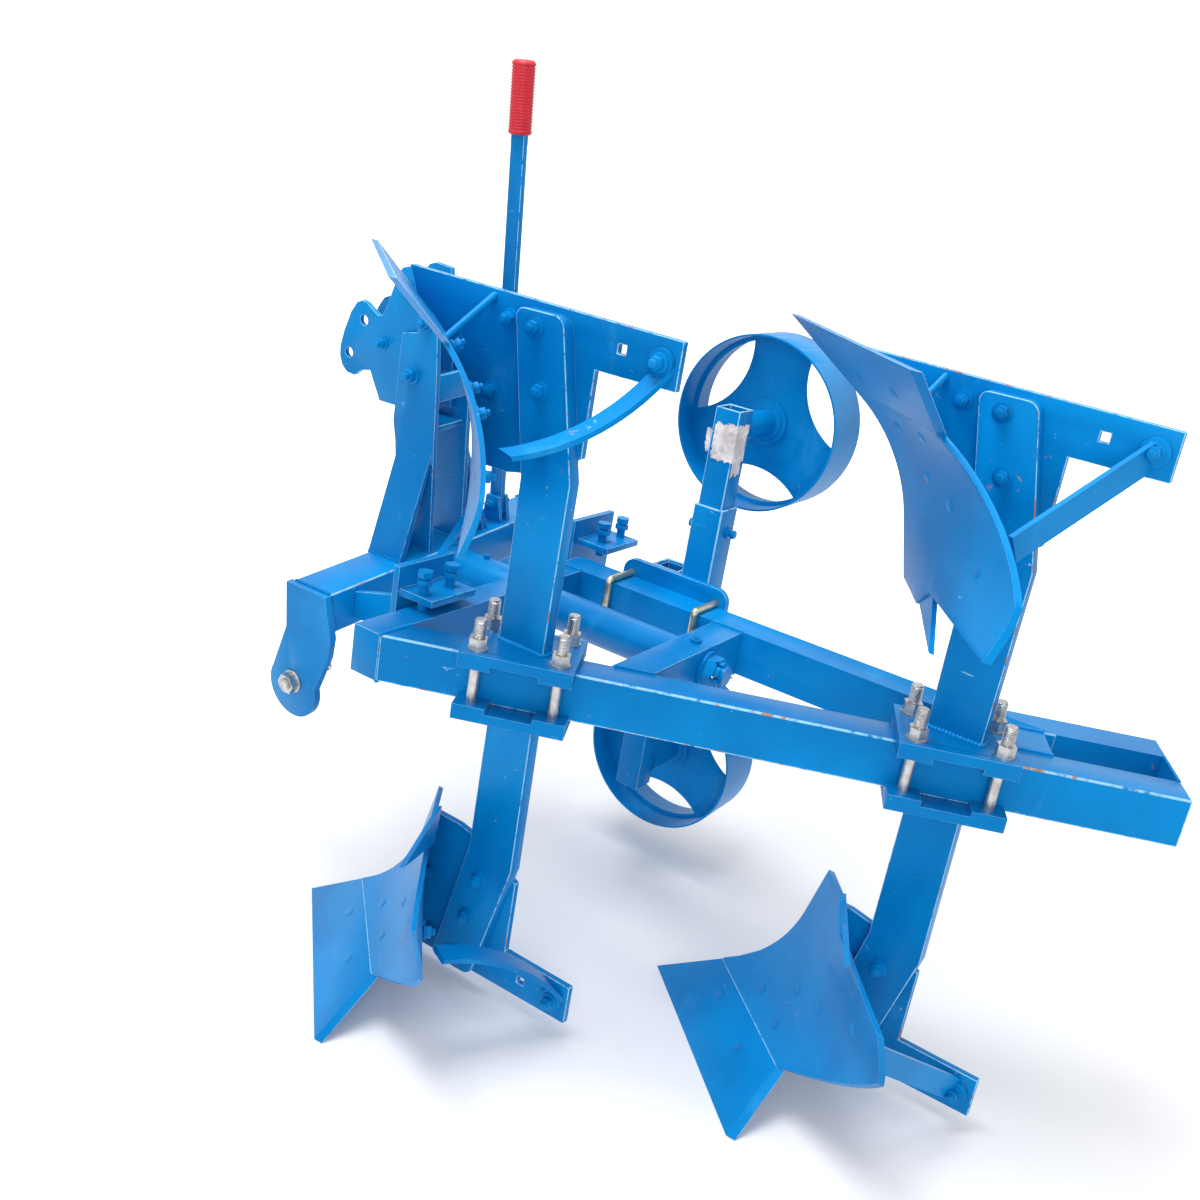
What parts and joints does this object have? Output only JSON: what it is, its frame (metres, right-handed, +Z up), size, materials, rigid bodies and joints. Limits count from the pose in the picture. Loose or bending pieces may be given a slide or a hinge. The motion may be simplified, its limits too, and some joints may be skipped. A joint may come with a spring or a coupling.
{
  "type": "reversible mouldboard plough",
  "caption": "Mounted turn-over mouldboard plough: mirrored bodies above and below an oblique frame beam, gauge wheels on a square-sleeve stand, three-point headstock and a hand lever.",
  "frame": {"origin": "on the ground under the middle of the parked plough's bounding box", "axes": "+Z up, +Y forward towards the tractor, +X to the driver's right; the turnover shaft is parallel to Y"},
  "size_m": [1.025, 1.6066, 1.5283],
  "materials": {
    "blue_paint": "semi-gloss blue enamel with rust at edges and scuffs",
    "zinc_plate": "zinc-plated fasteners with rust tint",
    "yellow_zinc": "yellow passivated zinc",
    "red_grip": "ribbed red grip"
  },
  "bodies": {
    "headstock": {"hitch_beam": "blue_paint", "drop_plates": "blue_paint", "hitch_pins": "zinc_plate", "mast_plates": "blue_paint", "link_brackets": "blue_paint", "mast_webs": "blue_paint", "turnover_shaft": "blue_paint", "shaft_housing": "blue_paint", "shaft_nut": "zinc_plate", "stop_plates": "blue_paint", "stop_screws": "blue_paint", "lever_bracket": "blue_paint"},
    "plough_frame": {"oblique_beam": "blue_paint", "cross_tube": "blue_paint", "far_beam": "blue_paint", "rear_bridge": "blue_paint", "middle_strut": "blue_paint", "clamp_plates": "blue_paint", "clamp_studs": "zinc_plate", "leg_rear_lower": "blue_paint", "landside_rear_lower": "blue_paint", "mouldboard_rear_lower": "blue_paint", "share_rear_lower": "blue_paint", "leg_rear_upper": "blue_paint", "landside_rear_upper": "blue_paint", "mouldboard_rear_upper": "blue_paint", "share_rear_upper": "blue_paint", "leg_front_lower": "blue_paint", "landside_front_lower": "blue_paint", "mouldboard_front_lower": "blue_paint", "share_front_lower": "blue_paint", "leg_front_upper": "blue_paint", "landside_front_upper": "blue_paint", "mouldboard_front_upper": "blue_paint", "share_front_upper": "blue_paint", "braces": "blue_paint", "gauge_plate": "blue_paint", "gauge_u_bolts": "yellow_zinc", "gauge_sleeves": "blue_paint", "gauge_stem_upper": "blue_paint", "gauge_stem_lower": "blue_paint"},
    "gauge_wheel_upper": {"wheel_upper": "blue_paint"},
    "gauge_wheel_lower": {"wheel_lower": "blue_paint"},
    "lever": {"lever_bar": "blue_paint", "lever_grip": "red_grip"}
  },
  "joints": [
    {"name": "turnover", "type": "hinge", "parent": "headstock", "child": "plough_frame", "pos_m": [0.0865, 0.31632, 0.608], "axis": [0, -1, 0], "range_deg": [0, 180]},
    {"name": "gauge_wheel_upper_spin", "type": "hinge", "parent": "plough_frame", "child": "gauge_wheel_upper", "pos_m": [0.4535, 0.11732, 0.968], "axis": [1, 0, 0], "continuous": true},
    {"name": "gauge_wheel_lower_spin", "type": "hinge", "parent": "plough_frame", "child": "gauge_wheel_lower", "pos_m": [0.4535, 0.18432, 0.248], "axis": [1, 0, 0], "continuous": true},
    {"name": "lever_swing", "type": "hinge", "parent": "headstock", "child": "lever", "pos_m": [0.25547, 0.57832, 0.70079], "axis": [-0.9942, 0, -0.108], "range_deg": [0, 15]}
  ]
}
